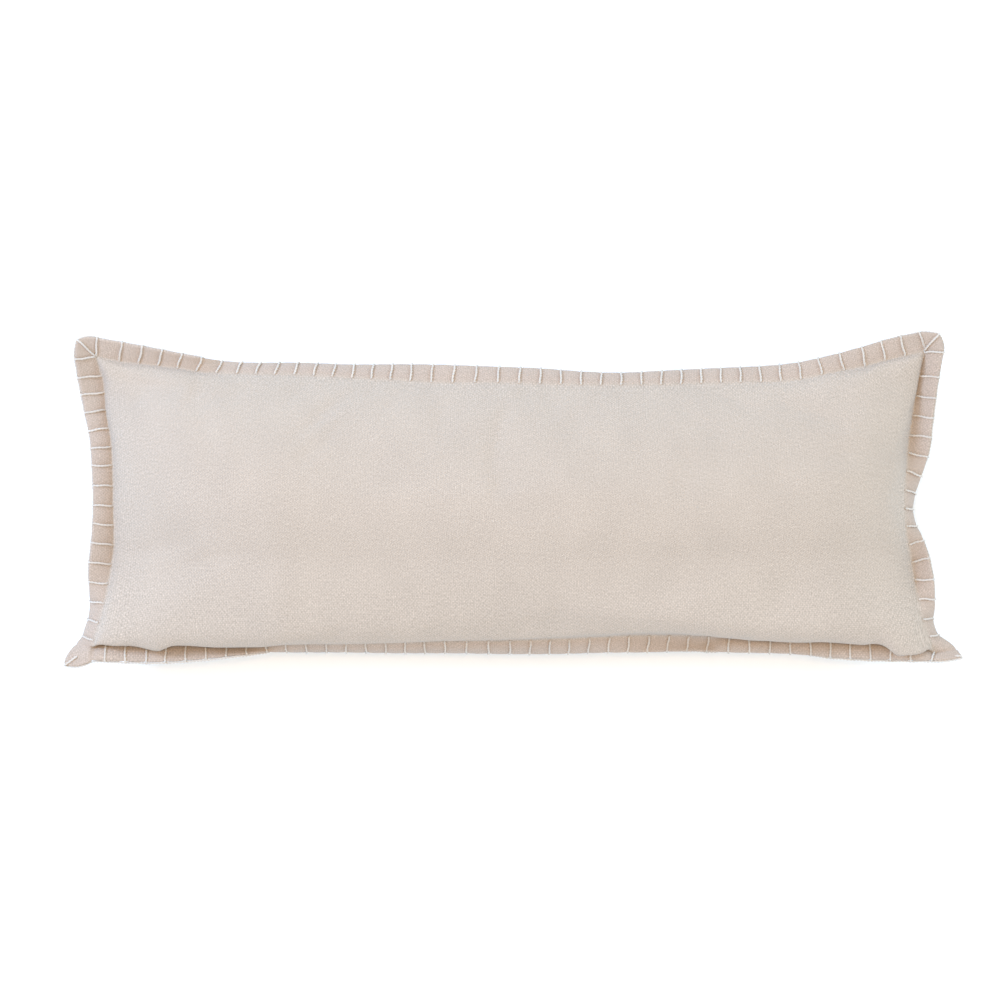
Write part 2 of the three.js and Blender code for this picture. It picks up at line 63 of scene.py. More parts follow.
# Each side of the flange, seen from above, in mm. Along: position on the side. Seam and rim: how
# far out the seam line and the cloth's rim lie there. Rise: the rim's height over the seam line.
# Bow: how far the flange bends away from straight. Lean: shift of a stitch's outer end. Drop: how
# far the seam lies below its usual height.
# fmt: off
TOP = [
    # along, seam, rim, rise, bow, lean, drop
    (-421, 144.5, 162.8, 8.0, 1.0, 2.5, 1.0),
    (-397, 139.8, 159.0, 9.0, 0.5, 4.2, 5.0),
    (-376, 136.9, 155.0, 9.0, 1.0, 4.8, 4.0),
    (-335, 131.7, 146.9, 5.0, 1.5, 5.5, 1.0),
    (-314, 128.4, 143.2, 4.0, 1.0, 5.5, 1.0),
    (-290, 126.2, 139.5, -13.0, 1.5, 5.2, 0),
    (-265, 125.5, 137.8, -17.0, 2.5, 4.6, 0),
    (-214, 124.7, 137.8, -16.0, 2.5, 4.0, 0),
    (-164, 122.0, 136.2, -13.5, 2.0, 3.0, 0),
    (-113, 119.5, 136.6, -12.0, 1.5, 1.8, 0),
    (-73, 117.1, 136.2, -9.7, 1.0, 2.2, 0),
    (-22, 117.0, 134.3, -12.0, 1.0, 2.2, 0),
    (28, 115.6, 132.3, -13.1, 1.5, 1.0, 0),
    (69, 114.5, 129.1, -15.0, 2.0, 0.8, 0),
    (109, 114.3, 127.7, -16.0, 2.0, 1.0, 0),
    (160, 115.1, 130.3, -15.0, 2.0, 1.6, 0),
    (210, 116.9, 132.8, -13.9, 1.5, 0.5, 0),
    (261, 118.0, 135.3, -11.0, 1.0, -0.6, 0),
    (291, 120.7, 138.8, -8.5, 1.0, -1.5, 0),
    (326, 128.3, 146.7, -4.0, 1.0, -4.3, 0),
    (357, 134.4, 155.4, 0.0, 0.5, -3.0, 0),
    (382, 141.2, 162.6, 5.0, 0.5, -4.5, 3.0),
    (417, 149.0, 169.2, 6.0, 1.5, -6.5, 1.0),
]
BOTTOM = [
    # along, seam, rim, rise, bow, lean, drop
    (-423, -149.0, -162.6, 8.0, -1.5, 0, 5.0),
    (-410, -145.5, -163.5, 16.0, -5.0, 0, 15.0),
    (-386, -142.5, -164.3, 20.0, -5.0, 0, 22.0),
    (-356, -142.0, -164.3, 21.0, -5.0, 0, 22.0),
    (-315, -142.5, -161.6, 19.5, -3.0, 0.5, 18.0),
    (-275, -144.5, -157.0, 15.0, 0.0, 1.5, 10.0),
    (-248, -145.8, -154.5, 3.0, 0.5, 0.8, 3.0),
    (-230, -144.8, -154.0, -9.0, 2.0, 0.3, 0),
    (-200, -144.4, -154.0, -17.0, 3.0, 0.2, 0),
    (-174, -144.4, -154.0, -18.1, 3.0, 0, 0),
    (-113, -143.4, -155.0, -16.9, 3.0, 0, 0),
    (-63, -141.8, -155.0, -15.7, 3.0, 0, 0),
    (-2, -141.9, -156.0, -14.0, 2.5, -0.5, 0),
    (48, -140.7, -156.0, -12.0, 1.5, -1.5, 0),
    (89, -138.8, -155.0, -9.0, 1.0, -1.5, 0),
    (129, -137.0, -155.0, -4.0, -1.0, -1.8, 1.0),
    (180, -137.0, -154.0, -2.0, -2.5, -2.5, 3.0),
    (230, -138.4, -155.0, 2.0, -4.0, -1.0, 6.0),
    (281, -140.4, -156.5, 11.0, -7.0, 0, 13.0),
    (321, -140.5, -159.8, 15.0, -7.5, 0, 16.0),
    (357, -142.5, -161.8, 16.5, -7.5, 0, 17.0),
    (375, -143.0, -162.3, 16.5, -7.5, 0, 17.0),
    (400, -147.5, -162.8, 15.0, -6.5, 0, 14.0),
    (414, -152.5, -162.8, 11.0, -4.0, -2.0, 9.0),
    (426, -156.0, -162.5, 7.0, -1.0, -4.0, 5.0),
]
LEFT = [
    # along, seam, rim, rise, bow, lean, drop
    (-150, -423.0, -444.0, -8.0, 1.5, 3.0, 0),
    (-140, -420.8, -436.0, -14.5, 1.5, 3.3, 0),
    (-132, -418.5, -433.3, -15.8, 1.5, 3.2, 0),
    (-114, -413.6, -428.0, -14.0, 1.5, 3.0, 0),
    (-96, -410.1, -427.7, -5.0, 1.0, 2.7, 2.0),
    (-76, -407.2, -428.2, 6.0, 0.0, 2.7, 6.0),
    (-56, -404.7, -426.7, 10.0, -1.0, 2.7, 9.0),
    (-36, -403.8, -424.7, 9.0, -1.5, 2.7, 8.0),
    (-6, -404.0, -423.3, 6.0, -2.0, 0.5, 5.0),
    (25, -404.0, -424.0, 5.0, -2.0, 0.5, 4.0),
    (60, -405.5, -426.2, 4.0, -2.0, -2.3, 3.0),
    (88, -410.9, -431.8, 8.0, -1.5, -3.0, 7.0),
    (116, -413.6, -437.0, 12.0, 0.5, -2.5, 11.0),
    (135, -418.5, -440.0, 9.0, 0.5, -3.0, 6.0),
    (144.5, -421.0, -440.8, 9.0, 1.0, -3.3, 1.0),
]
RIGHT = [
    # along, seam, rim, rise, bow, lean, drop
    (-156, 426.0, 453.0, -2.0, 1.5, 3.5, 5.0),
    (-146, 423.0, 444.0, -9.0, 1.5, 1.5, 2.0),
    (-139, 420.0, 432.0, -14.0, 1.5, 0.5, 0),
    (-124, 413.8, 426.4, -16.0, 1.5, 0.5, 0),
    (-107, 410.8, 427.6, -5.0, 0.5, 1.0, 1.0),
    (-86, 408.1, 426.2, 8.0, 0.0, 0.5, 7.0),
    (-61, 404.1, 421.3, 10.0, 1.0, 4.0, 8.0),
    (-41, 399.3, 416.1, 0.0, 1.5, 3.0, 3.0),
    (-25, 396.4, 408.5, -15.0, 1.5, -1.5, 0),
    (-9, 395.2, 405.7, -18.0, 2.0, -1.5, 0),
    (10, 395.5, 409.4, -13.8, 1.5, -4.0, 1.0),
    (30, 397.9, 416.0, 0.0, 1.0, -5.0, 3.0),
    (50, 400.4, 421.2, 11.0, 0.5, -4.0, 10.0),
    (70, 403.2, 423.2, 13.0, 0.5, -2.5, 12.0),
    (95, 407.5, 426.2, 15.0, 0.5, -3.5, 14.0),
    (121, 412.0, 430.2, 15.0, -1.0, -3.0, 13.0),
    (149, 417.0, 435.0, 10.0, -2.5, -1.0, 2.0),
]
# Uneven stitch spacing: the place along each side of some numbered stitches, in mm.
TOP_PITCH = [(0, -421), (1, -397.6), (5, -319), (7, -278.9), (14, -142.7), (17, -82.2), (21, 6.9),
             (25, 89.5), (30, 190.8), (35, 292), (38, 356.1), (41, 417)]
BOTTOM_PITCH = [(0, -423), (0.5, -411), (1, -391), (3, -350), (8, -249), (13, -148), (17, -68),
                (20, -2), (24, 78), (30, 199), (34, 281), (40, 402), (41, 426)]
LEFT_PITCH = [(0, -150), (1, -142.5), (2, -124.7), (5, -66.2), (9, 13.6), (10, 34), (13, 89.9),
              (15, 125.2), (16, 144.5)]
RIGHT_PITCH = [(0, -156), (1, -139), (2, -121.2), (4, -81.8), (8, -9.1), (10, 28.8), (12, 65.1),
               (15, 125.7), (16, 149)]
# The flange's four outermost points: x, y, height over the seam corner, and how far the rim
# beside the point bulges in x and in y, in mm.
TIPS = {
    (0, 0): (-451.0, -167.3, 4.0, -3.5, -3.5),
    (1, 0): (453.0, -159.5, 5.0, 1.0, -1.5),
    (0, 1): (-438.5, 160.6, 10.0, -1.0, 2.2),
    (1, 1): (430.0, 166.5, 8.0, 2.0, 1.2),
}
# Where the stitch at each corner begins, 0 at the seam's corner and 1 at the tip.
CORNER_START = {(0, 0): 0.55, (1, 0): 0.8, (0, 1): 0.05, (1, 1): 0.05}
# How far the stuffing pushes the belly down over the bottom seam, by place along it.
SAG = [(-423, 22), (-405, 35), (-385, 30), (-370, 29.5), (-357, 29.5), (-343, 25), (-300, 24.5),
       (-250, 22), (-50, 23), (60, 21.5), (150, 22), (200, 24), (280, 26.5), (350, 29), (368, 32),
       (379, 42), (387, 58), (400, 68), (412, 100), (420, 135), (426, 130)]
# How much of the yarn's run along the rim shows past the cloth, 0 to 1, by place along each side.
SHOWN = {
    "bottom": [(-450, 1.0), (-272, 1.0), (-240, 0.0), (285, 0.0), (320, 1.0), (450, 1.0)],
    "right": [(-160, 0.8), (-135, 0.1), (135, 0.1), (165, 0.6)],
    "top": [(-440, 0.6), (-405, 0.0), (390, 0.0), (430, 0.6)],
    "left": [(-165, 1.0), (-130, 0.3), (-60, 0.5), (165, 0.6)],
}
# Soft folds and hollows of the front: place, direction, half size and height.
FOLDS = [
    # x, y, degrees, half length, half width, height
    (54, -100, 4, 95, 30, -2.6),
    (190, -98, 29, 60, 14, 1.8),
    (262, -104, 57, 38, 11, -1.6),
    (330, -80, 64, 50, 16, 1.2),
    (-392, 126, -35, 26, 7, -3),
    (-372, 117, -15, 24, 7, -2),
    (-300, 20, 85, 90, 40, 0.9),
    (-10, 30, 90, 110, 30, -0.8),
    (-10, -136, 0, 130, 45, -15),
    (-234, -136, 0, 90, 40, -7),
    (262, -138, 2, 95, 15, 5),
]
# fmt: on


class PillowCover(PropertyGroup):
    """Sizes of the stuffed cotton cover"""

    flange_thick: FloatProperty(
        name="Flange thickness", description="Two layers of cotton",
        default=0.003, min=0.0005, unit="LENGTH")
    seam_height: FloatProperty(
        name="Seam height", description="Seam line above the surface the pillow lies on",
        default=0.057, unit="LENGTH")
    front_crown: FloatProperty(
        name="Front crown", description="Height of the front panel above the seam line",
        default=0.068, unit="LENGTH")
    back_crown: FloatProperty(
        name="Back crown", description="Depth of the back panel below the seam line",
        default=0.062, unit="LENGTH")
    end_rise: FloatProperty(
        name="End rise", description="Length over which the crown rises from a short side",
        default=0.19, unit="LENGTH")
    lines: IntProperty(
        name="Lines per stitch", description="Mesh lines of the cover between two stitches",
        default=3, min=1)
    pressure: FloatProperty(
        name="Stuffing pressure", description="Pressure of the filling in the cloth simulation",
        default=3.0)
    slack: FloatProperty(
        name="Slack", description="Share by which the cloth is longer than the form it covers",
        default=0.006)
    cap: FloatProperty(
        name="Largest move", description="Furthest a point may move while the cloth settles",
        default=0.006, unit="LENGTH")
    colour: StringProperty(
        name="Cloth colour", description="sRGB hex value of the cotton", default="b7a694")
    # painted shade: a browner colour for the flange past the seam, standing in for the warm shade
    # beside the body
    flange_shade_colour: StringProperty(
        name="Flange colour", description="sRGB hex value of the cotton past the seam",
        default="b4a08e")


class EdgeYarn(PropertyGroup):
    """Sizes of the blanket-stitch yarn"""

    width: FloatProperty(
        name="Yarn width", description="Width over both strands", default=0.0024, unit="LENGTH")
    twist: FloatProperty(
        name="Twist length", description="Length of one full turn of the strands",
        default=0.007, unit="LENGTH")
    run_out: FloatProperty(
        name="Rim offset", description="How far the run along the rim lies beyond the cloth",
        default=0.0008, unit="LENGTH")
    colour: StringProperty(
        name="Yarn colour", description="sRGB hex value of the yarn", default="cfc4b6")


class Studio(PropertyGroup):
    """Floor, light and camera"""

    distance: FloatProperty(
        name="Camera distance", description="From the camera to the pillow's rim",
        default=3.0, unit="LENGTH")
    floor_colour: StringProperty(
        name="Floor colour", description="sRGB hex value of the floor", default="faf9f4")
    window: FloatProperty(
        name="Window light", description="Power of the cool light from the upper left",
        default=72.0)
    lamp: FloatProperty(
        name="Lamp light", description="Power of the warm light from overhead", default=50.0)
    far_window: FloatProperty(
        name="Far window light", description="Power of the cool light from the right", default=29.0)
    near_window: FloatProperty(
        name="Near window light", description="Power of the faint cool light near the viewer",
        default=11.0)
    room: FloatProperty(
        name="Room light", description="Strength of the light from all round", default=1.3)


def curve(rows, column=1):
    """A smooth function through table rows: column against the first column."""
    table = np.array(rows, float)
    x, y = table[:, 0], table[:, column]
    low = np.maximum(np.arange(len(x)) - 1, 0)
    high = np.minimum(np.arange(len(x)) + 1, len(x) - 1)
    slope = (y[high] - y[low]) / (x[high] - x[low])

    def at(v):
        k = np.clip(np.searchsorted(x, v, side="left") - 1, 0, len(x) - 2)
        step = x[k + 1] - x[k]
        t = np.clip((v - x[k]) / step, 0, 1)
        lead = t * (1 - t) ** 2 * slope[k] * step
        trail = t * t * (1 - t) * slope[k + 1] * step
        return y[k] + (y[k + 1] - y[k]) * t * t * (3 - 2 * t) + lead - trail

    return at


class Side:
    """One side of the flange: its tables as smooth functions. Upright sides run along Y."""

    def __init__(self, rows, pitch, upright, height):
        self.seam, self.rim, self.rise, self.bow, self.lean, self.drop = (
            curve(rows, column) for column in range(1, 7))
        self.place = curve(pitch)
        self.upright = upright
        self.height = height

    def point(self, along, out, z):
        return np.array([out, along, z] if self.upright else [along, out, z], float)

    def across(self, station):
        """Seam, middle and rim points of the flange's middle surface at a stitch number."""
        along = float(self.place(station))
        start = self.point(along, self.seam(along), 0)
        waver = 2 * math.sin(start[0] / 61 + 1) + 1.6 * math.sin(start[1] / 37)
        start[2] = self.height + waver - self.drop(along)
        shifted = along + self.lean(along)
        end = self.point(shifted, self.rim(shifted), start[2] + self.rise(shifted))
        span = end - start
        flat = math.hypot(span[0], span[1])
        bend = np.array([span[0] * abs(span[2]) / flat, span[1] * abs(span[2]) / flat,
                         -np.sign(span[2]) * flat])
        middle = (start + end) / 2 + bend * self.bow(along) / np.linalg.norm(span)
        return start, middle, end


def bent(points, r):
    """A point of the smooth arc through seam, middle and rim, at share r of the way out."""
    seam, middle, rim = points
    return seam * (1 - r) * (1 - 2 * r) + middle * 4 * r * (1 - r) + rim * r * (2 * r - 1)


class Form:
    """The pillow's form, in mm: any point of its cloth by stitch numbers and panel."""

    def __init__(self, cover):
        height = cover.seam_height / MM
        self.half_thick = cover.flange_thick / MM / 2
        self.front = cover.front_crown / MM
        self.back = cover.back_crown / MM
        self.end_rise = cover.end_rise / MM
        self.sides = {
            "long": (Side(BOTTOM, BOTTOM_PITCH, False, height), Side(TOP, TOP_PITCH, False, height)),
            "short": (Side(LEFT, LEFT_PITCH, True, height), Side(RIGHT, RIGHT_PITCH, True, height)),
        }
        self.sag = curve(SAG)
        self.kept = {}
        ends = (0, LONG_PITCHES)
        self.corners = [[self.line("long", b, ends[a])[0] for b in (0, 1)] for a in (0, 1)]

    def line(self, kind, side, station):
        """The line across the flange of one side at a stitch number, worked out once."""
        key = (kind, side, round(station, 4))
        if key not in self.kept:
            self.kept[key] = self.sides[kind][side].across(station)
        return self.kept[key]

    def flange(self, a, b, out_a, out_b):
        """Middle surface of the flange: out is 0 on the seam and 1 on the rim, each way."""
        right, upper = int(a > LONG_PITCHES / 2), int(b > SHORT_PITCHES / 2)
        if out_a == 0 and (out_b > 0 or b in (0, SHORT_PITCHES)):
            return bent(self.line("long", upper, a), out_b)
        if out_b == 0:
            return bent(self.line("short", right, b), out_a)
        long_line, short_line = self.line("long", upper, a), self.line("short", right, b)
        x, y, rise, bulge_x, bulge_y = TIPS[right, upper]
        seam = long_line[0]
        rim_a, rim_b = short_line[2], long_line[2]
        tip = np.array([x, y, seam[2] + rise])
        round_a, round_b = 4 * out_b * (1 - out_b), 4 * out_a * (1 - out_a)
        beside_a = rim_a + (tip - rim_a) * out_b + np.array([bulge_x * round_a, 0, 0])
        beside_b = rim_b + (tip - rim_b) * out_a + np.array([0, bulge_y * round_b, 0])
        # a patch stretched between its four edges: both ways across, less the corners' share
        flat = (seam * (1 - out_a) * (1 - out_b) + rim_a * out_a * (1 - out_b)
                + rim_b * (1 - out_a) * out_b + tip * out_a * out_b)
        return (bent(short_line, out_a) * (1 - out_b) + beside_b * out_b
                + bent(long_line, out_b) * (1 - out_a) + beside_a * out_a - flat)

    def body(self, a, b, panel):
        """A point of the stuffed front (0) or back (1) panel."""
        bottom, top = self.line("long", 0, a)[0], self.line("long", 1, a)[0]
        left, right = self.line("short", 0, b)[0], self.line("short", 1, b)[0]
        # s and t: place between the seam's upright and level sides, 0 to 1
        (c00, c01), (c10, c11) = self.corners
        s = ((bottom[0] - c00[0]) / (c10[0] - c00[0]) + (top[0] - c01[0]) / (c11[0] - c01[0])) / 2
        t = ((left[1] - c00[1]) / (c01[1] - c00[1]) + (right[1] - c10[1]) / (c11[1] - c10[1])) / 2
        p = (bottom * (1 - t) + top * t + left * (1 - s) + right * s
             - c00 * (1 - s) * (1 - t) - c01 * (1 - s) * t - c10 * s * (1 - t) - c11 * s * t)
        # across: an arc from long side to long side; along: full in the middle, falling to the ends
        half = (top[1] - bottom[1]) / 2
        from_side = min(t, 1 - t) * 2
        from_end = min(min(s, 1 - s) * (right[0] - left[0]) / self.end_rise, 1)
        ratio = self.front / half
        radius = (1 + ratio * ratio) / (2 * ratio)
        arch = math.sqrt(radius ** 2 - (1 - from_side) ** 2) - (radius - ratio)
        across = max(arch / ratio, 1e-6) ** 0.7
        along = max((1 - (1 - from_end) ** 2.6) ** 0.65, 1e-6)
        along *= 0.94 + 0.06 * (1 - (2 * s - 1) ** 2)
        full = (across ** -1.25 + along ** -1.25 - 1) ** (-1 / 1.25)
        # the belly's slide over the lower seam is strongest a twelfth of the way up
        sag = self.sag(p[0]) * (t / 0.08) ** 2 * math.exp(2 - 2 * t / 0.08) * min(along * 1.4, 1)
        if panel == 0:
            y = p[1] - sag
            z = p[2] + self.half_thick + full * self.front + self.folds(p[0], y) * min(full * 3, 1)
            return np.array([p[0], y, z])
        return np.array([p[0], p[1] - 0.8 * sag,
                         max(p[2] - self.half_thick - full * self.back, 0)])

    @staticmethod
    def folds(x, y):
        """Height of the soft folds of the front at a place."""
        total = 0
        for fx, fy, degrees, length, width, height in FOLDS:
            angle = math.radians(degrees)
            a = (x - fx) * math.cos(angle) + (y - fy) * math.sin(angle)
            b = (y - fy) * math.cos(angle) - (x - fx) * math.sin(angle)
            total += height * math.exp(-((a / length) ** 2) - (b / width) ** 2)
        return total

    def frame_at(self, a, b, out_a, out_b):
        """Point and upward normal on the flange's middle surface."""
        here = self.flange(a, b, out_a, out_b)
        d = 0.02  # stitch spacings between the two points that give the slope

        def moved(da, db):
            na, oa = shift(a, out_a, da, LONG_PITCHES)
            nb, ob = shift(b, out_b, db, SHORT_PITCHES)
            return self.flange(na, nb, oa, ob)

        east = moved(d, 0) - moved(-d, 0)
        north = moved(0, d) - moved(0, -d)
        normal = np.cross(east, north)
        return here, normal / np.linalg.norm(normal)


def shift(station, out, step, count):
    """Moves along a flat cloth line that runs over the body and out on both flanges."""
    flat = station - out if station == 0 else station + out if station == count else station
    flat = min(max(flat + step, -1), count + 1)
    if flat < 0:
        return 0, -flat
    if flat > count:
        return count, flat - count
    return flat, 0


def cloth_lines(count, per):
    """Mesh lines across the cloth: (stitch number, share of the flange), from rim to rim.

    They lie closer at the seam and at the rim, where the cloth bends most.
    """
    outer = [(0, out) for out in (1.0, 0.86, 0.7, 0.54, 0.38, 0.22, 0.1)]
    inner = [(0, 0), (0.14, 0)]
    middle = [(k / per, 0) for k in range(1, count * per)]
    far = [(count - 0.14, 0), (count, 0)]
    return outer + inner + middle + far + [(count, out) for _, out in reversed(outer)]


def new_object(name, mesh):
    """An object of the scene that holds a mesh, curve, light or camera."""
    obj = bpy.data.objects.new(name, mesh)
    bpy.context.scene.collection.objects.link(obj)
    return obj


def evaluated_mesh(obj):
    """A new mesh of an object as its modifiers or curve settings make it."""
    graph = bpy.context.evaluated_depsgraph_get()
    return bpy.data.meshes.new_from_object(obj.evaluated_get(graph))


def bake_modifiers(obj):
    """Replaces an object's mesh with its evaluated mesh and clears its modifiers."""
    mesh = evaluated_mesh(obj)
    obj.modifiers.clear()
    old = obj.data
    obj.data = mesh
    mesh.name = obj.name
    bpy.data.meshes.remove(old)


def hex_linear(value):
    """Linear colour with alpha from an sRGB hex value."""
    parts = [int(value[k:k + 2], 16) / 255 for k in (0, 2, 4)]
    return [c / 12.92 if c <= 0.04045 else ((c + 0.055) / 1.055) ** 2.4 for c in parts] + [1.0]


def add_node(tree, kind, links=(), **settings):
    """Adds a node, sets its inputs and properties by name, and links [(input, socket), ...]."""
    node = tree.nodes.new(kind)
    for name, value in settings.items():
        if name in node.inputs:
            node.inputs[name].default_value = value
        else:
            setattr(node, name, value)
    for name, socket in links:
        tree.links.new(socket, node.inputs[name])
    return node


def new_material(name):
    """A material with an empty node tree, and the tree."""
    material = bpy.data.materials.new(name)
    material.use_nodes = True
    tree = material.node_tree
    tree.nodes.clear()
    return material, tree


SEAM_CREASE = 0.75  # how sharp the sewn line stays when the mesh is smoothed


def cover_mesh(form, cover):
    """Front and back panels from two flat grids, joined round the rim and drawn into form.

    Returns the mesh and the numbers of the points that the stitching holds still.
    """
    columns = cloth_lines(LONG_PITCHES, cover.lines)
    rows = cloth_lines(SHORT_PITCHES, cover.lines)
    bm = bmesh.new()
    uv = bm.loops.layers.uv.new("cloth")
    panel_layer = bm.verts.layers.float.new("panel")
    crease = bm.edges.layers.float.new("crease_edge")
    panels = []
    for panel in (0, 1):
        made = bmesh.ops.create_grid(
            bm, x_segments=len(columns) - 1, y_segments=len(rows) - 1, size=0.5)
        panels.append(made["verts"])
    flat = {}
    spots = {}
    for panel, verts in enumerate(panels):
        for v in verts:
            i = round((v.co.x + 0.5) * (len(columns) - 1))
            j = round((v.co.y + 0.5) * (len(rows) - 1))
            (a, out_a), (b, out_b) = columns[i], rows[j]
            v[panel_layer] = panel
            x = (a / LONG_PITCHES - 0.5) * CLOTH_LONG + CLOTH_FLANGE * (out_a if a else -out_a)
            y = (b / SHORT_PITCHES - 0.5) * CLOTH_SHORT + CLOTH_FLANGE * (out_b if b else -out_b)
            flat[v] = (x * MM, y * MM)
            on_flange = out_a or out_b or a in (0, LONG_PITCHES) or b in (0, SHORT_PITCHES)
            if on_flange:
                here, normal = form.frame_at(a, b, out_a, out_b)
                if not (out_a or out_b):
                    normal = np.array([0.0, 0.0, 1.0])
                p = here + normal * form.half_thick * (1 if panel == 0 else -1)
            else:
                p = form.body(a, b, panel)
            spots[v] = (p + SHIFT) * MM
            v.tag = bool(on_flange)
    seams = [e for e in bm.edges if is_seam(e, flat)]
    rims = [e for e in bm.edges if e.is_boundary]
    for v, spot in spots.items():
        v.co = spot
    bmesh.ops.reverse_faces(bm, faces=[f for f in bm.faces if f.verts[0][panel_layer] > 0.5])
    bmesh.ops.bridge_loops(bm, edges=rims)
    for e in seams:
        e[crease] = SEAM_CREASE
    for f in bm.faces:
        f.smooth = True
        for loop in f.loops:
            loop[uv].uv = flat[loop.vert]
    bm.verts.index_update()
    pinned = [v.index for v in bm.verts if v.tag]
    mesh = bpy.data.meshes.new("pillow_cover")
    bm.to_mesh(mesh)
    bm.free()
    return mesh, pinned


def is_seam(edge, flat):
    """True if both ends of an edge lie on one straight of the seam line."""
    (ax, ay), (bx, by) = (flat[v] for v in edge.verts)
    half_x, half_y = CLOTH_LONG / 2 * MM, CLOTH_SHORT / 2 * MM
    near = 1e-5
    level = abs(abs(ay) - half_y) < near and abs(ay - by) < near
    upright = abs(abs(ax) - half_x) < near and abs(ax - bx) < near
    inside = max(abs(ax), abs(bx)) < half_x + near and max(abs(ay), abs(by)) < half_y + near
    return inside and (level or upright)


SETTLE_FRAMES = 20  # steps in which the cloth comes to rest


def settle_cloth(obj, pinned, cover):
    """Lets the stuffed panels settle under pressure, held at the flange and where they rest."""
    mesh = obj.data
    before = np.array([v.co for v in mesh.vertices])
    resting = np.where(before[:, 2] < 0.0005)[0].tolist()
    group = obj.vertex_groups.new(name="held")
    group.add(sorted(set(pinned) | set(resting)), 1.0, "REPLACE")
    cloth = obj.modifiers.new("stuffed", "CLOTH")
    settings = cloth.settings
    settings.vertex_group_mass = "held"
    settings.use_pressure = True
    settings.uniform_pressure_force = cover.pressure
    settings.shrink_min = -cover.slack
    settings.tension_stiffness = 25
    settings.compression_stiffness = 25
    settings.shear_stiffness = 8
    settings.bending_stiffness = 0.6
    settings.quality = 6
    settings.mass = 0.3
    settings.air_damping = 4
    settings.effector_weights.gravity = 0
    scene = bpy.context.scene
    cloth.point_cache.frame_start = 1
    cloth.point_cache.frame_end = SETTLE_FRAMES
    for number in range(1, SETTLE_FRAMES + 1):
        scene.frame_set(number)
    bake_modifiers(obj)
    scene.frame_set(1)
    after = np.array([v.co for v in obj.data.vertices])
    move = after - before
    far = np.linalg.norm(move, axis=1, keepdims=True)
    move *= np.minimum(1, cover.cap / np.maximum(far, 1e-9))
    tied = np.zeros(len(before))
    tied[pinned] = 1
    placed = before + move * (1 - tied[:, None])
    placed[:, 2] = np.maximum(placed[:, 2], 0)
    obj.data.vertices.foreach_set("co", placed.ravel())
    obj.vertex_groups.clear()


def stitched_relief(obj):
    """Presses the cloth in under each stitch and lets it puff between, on flange and seam."""
    mesh = obj.data
    count = len(mesh.vertices)
    place = np.array([v.co for v in mesh.vertices])
    normal = np.array([v.normal for v in mesh.vertices])
    flat = np.zeros((count, 2))
    for loop, uv in zip(mesh.loops, mesh.uv_layers["cloth"].data):
        flat[loop.vertex_index] = uv.uv
    move = np.zeros(count)
    ways = ((CLOTH_LONG, LONG_PITCHES, CLOTH_SHORT), (CLOTH_SHORT, SHORT_PITCHES, CLOTH_LONG))
    for side, (length, pitches, other) in enumerate(ways):
        along = flat[:, side] / MM
        out = np.abs(flat[:, 1 - side]) / MM - other / 2
        phase = (along / length + 0.5) * pitches
        gap = (phase - np.round(phase)) * length / pitches
        puff = 0.5 - 0.5 * np.cos(2 * np.pi * phase)
        on_side = np.abs(along) < length / 2 + 2
        # on the flange: 0.55 mm down under a stitch and up to 0.45 mm up between two
        flange = on_side & (out > 0)
        shape = np.sin(np.clip(out / CLOTH_FLANGE, 0, 1) * np.pi * 0.85 + 0.2)
        dent = -0.55 * np.exp(-((gap / 2.2) ** 2)) + 0.45 * puff * shape
        move[flange] += dent[flange]
        # inside the seam: the same rhythm and small uneven tugs, gone within 26 mm
        body = on_side & (out <= 0) & (out > -26)
        fade = np.exp(-((out / 9) ** 2))
        tug = np.array([noise.noise((float(a) / 14, float(side) * 7, 0)) for a in along[body]])
        start = 1 - np.exp(-((out[body] / 4) ** 2))
        move[body] += (0.5 * (puff[body] - 0.5) + 1.1 * tug) * start * fade[body]
    place += normal * move[:, None] * MM
    place[:, 2] = np.maximum(place[:, 2], 0)
    mesh.vertices.foreach_set("co", place.ravel())
    mesh.update()


